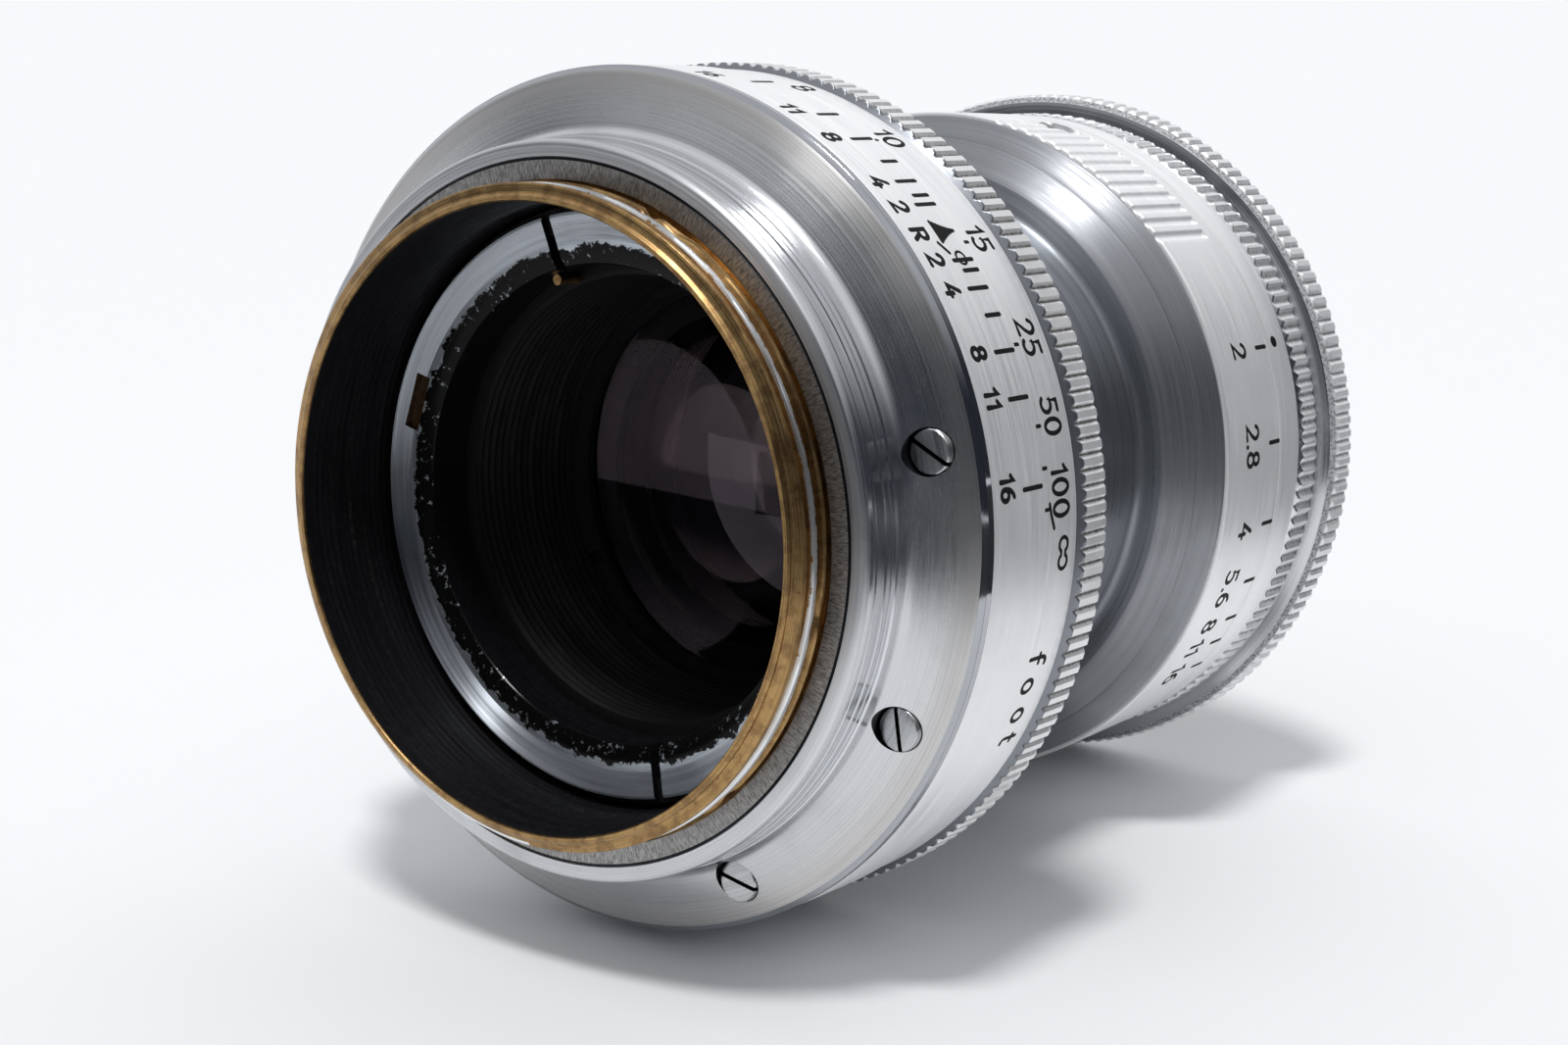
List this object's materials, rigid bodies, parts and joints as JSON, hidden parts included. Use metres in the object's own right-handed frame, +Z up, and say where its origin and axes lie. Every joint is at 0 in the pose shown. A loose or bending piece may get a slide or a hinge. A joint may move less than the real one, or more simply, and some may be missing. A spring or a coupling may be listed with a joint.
{
  "type": "camera lens",
  "caption": "Manual-focus prime lens with a threaded rear mount, a toothed focus ring with scales, an aperture ring and an iris of thin blades.",
  "frame": {"origin": "centre of the flange seat that rests on a camera, on the optical axis", "axes": "+Y along the optical axis out of the rear mount, -Y out of the front; +Z up as the lens lies, with the depth-of-field index 47.7 degrees from it"},
  "size_m": [0.0526, 0.0593, 0.0526],
  "materials": {
    "worn_brass": "worn, machined",
    "plated_chrome": "turned and brushed plating",
    "satin_chrome": "satin plating",
    "bare_steel": "turned",
    "black_paint": "matte black",
    "coated_glass": "polished, violet coating",
    "blued_steel": "satin, blued"
  },
  "bodies": {
    "mount": {"mount_collar": "worn_brass", "mount_flange": "plated_chrome", "flange_screws": "bare_steel", "depth_scale_ring": "satin_chrome", "outer_helicoid": "worn_brass", "focus_stop_pin": "bare_steel", "focus_retaining_ring": "bare_steel"},
    "focus": {"focus_ring": "satin_chrome", "drive_ring": "plated_chrome", "drive_ring_screws": "bare_steel"},
    "head": {"lens_barrel": "plated_chrome", "inner_helicoid": "worn_brass", "rear_lock_ring": "bare_steel", "lock_ring_pin": "worn_brass", "rear_baffle": "black_paint", "index_ring": "satin_chrome", "grip_ring": "plated_chrome", "front_ring": "plated_chrome", "front_bezel": "black_paint", "front_cell": "black_paint", "rear_cell": "black_paint", "front_retaining_ring": "black_paint", "front_doublet_ring": "black_paint", "rear_doublet_ring": "black_paint", "rear_retaining_ring": "black_paint", "front_element": "coated_glass", "front_doublet_crown": "coated_glass", "front_doublet_flint": "coated_glass", "rear_doublet_flint": "coated_glass", "rear_doublet_crown": "coated_glass", "rear_element": "coated_glass", "iris_housing": "black_paint"},
    "aperture": {"aperture_ring": "satin_chrome", "iris_drive_screw": "bare_steel", "iris_drive_ring": "black_paint"},
    "blade_01": {"iris_blade_01": "blued_steel"},
    "blade_02": {"iris_blade_02": "blued_steel"},
    "blade_03": {"iris_blade_03": "blued_steel"},
    "blade_04": {"iris_blade_04": "blued_steel"},
    "blade_05": {"iris_blade_05": "blued_steel"},
    "blade_06": {"iris_blade_06": "blued_steel"},
    "blade_07": {"iris_blade_07": "blued_steel"},
    "blade_08": {"iris_blade_08": "blued_steel"},
    "blade_09": {"iris_blade_09": "blued_steel"},
    "blade_10": {"iris_blade_10": "blued_steel"}
  },
  "joints": [
    {"name": "focus_turn", "type": "hinge", "parent": "mount", "child": "focus", "pos_m": [0, 0, 0], "axis": [0, -1, 0], "range_deg": [-37.1, 129.6]},
    {"name": "head_slide", "type": "slide", "parent": "focus", "child": "head", "axis": [0, -1, 0], "range_m": [-0.0006, 0.0021]},
    {"name": "aperture_turn", "type": "hinge", "parent": "head", "child": "aperture", "pos_m": [0, 0, 0], "axis": [0, -1, 0], "range_deg": [-59.5, 0]},
    {"name": "blade_01_pivot", "type": "hinge", "parent": "head", "child": "blade_01", "pos_m": [0, -0.0333, 0.015], "axis": [0, -1, 0], "range_deg": [-38.6, 0]},
    {"name": "blade_02_pivot", "type": "hinge", "parent": "head", "child": "blade_02", "pos_m": [-0.00882, -0.03341, 0.01213], "axis": [0, -1, 0], "range_deg": [-38.6, 0]},
    {"name": "blade_03_pivot", "type": "hinge", "parent": "head", "child": "blade_03", "pos_m": [-0.01427, -0.03352, 0.00464], "axis": [0, -1, 0], "range_deg": [-38.6, 0]},
    {"name": "blade_04_pivot", "type": "hinge", "parent": "head", "child": "blade_04", "pos_m": [-0.01427, -0.03363, -0.00464], "axis": [0, -1, 0], "range_deg": [-38.6, 0]},
    {"name": "blade_05_pivot", "type": "hinge", "parent": "head", "child": "blade_05", "pos_m": [-0.00882, -0.03374, -0.01213], "axis": [0, -1, 0], "range_deg": [-38.6, 0]},
    {"name": "blade_06_pivot", "type": "hinge", "parent": "head", "child": "blade_06", "pos_m": [0, -0.03385, -0.015], "axis": [0, -1, 0], "range_deg": [-38.6, 0]},
    {"name": "blade_07_pivot", "type": "hinge", "parent": "head", "child": "blade_07", "pos_m": [0.00882, -0.03396, -0.01213], "axis": [0, -1, 0], "range_deg": [-38.6, 0]},
    {"name": "blade_08_pivot", "type": "hinge", "parent": "head", "child": "blade_08", "pos_m": [0.01427, -0.03407, -0.00464], "axis": [0, -1, 0], "range_deg": [-38.6, 0]},
    {"name": "blade_09_pivot", "type": "hinge", "parent": "head", "child": "blade_09", "pos_m": [0.01427, -0.03418, 0.00464], "axis": [0, -1, 0], "range_deg": [-38.6, 0]},
    {"name": "blade_10_pivot", "type": "hinge", "parent": "head", "child": "blade_10", "pos_m": [0.00882, -0.03429, 0.01213], "axis": [0, -1, 0], "range_deg": [-38.6, 0]}
  ],
  "couplings": [
    {"joint": "head_slide", "follows": "focus_turn", "m_per_rad": 0.0009231},
    {"joint": "blade_01_pivot", "follows": "aperture_turn", "ratio": 0.647},
    {"joint": "blade_02_pivot", "follows": "aperture_turn", "ratio": 0.647},
    {"joint": "blade_03_pivot", "follows": "aperture_turn", "ratio": 0.647},
    {"joint": "blade_04_pivot", "follows": "aperture_turn", "ratio": 0.647},
    {"joint": "blade_05_pivot", "follows": "aperture_turn", "ratio": 0.647},
    {"joint": "blade_06_pivot", "follows": "aperture_turn", "ratio": 0.647},
    {"joint": "blade_07_pivot", "follows": "aperture_turn", "ratio": 0.647},
    {"joint": "blade_08_pivot", "follows": "aperture_turn", "ratio": 0.647},
    {"joint": "blade_09_pivot", "follows": "aperture_turn", "ratio": 0.647},
    {"joint": "blade_10_pivot", "follows": "aperture_turn", "ratio": 0.647}
  ]
}
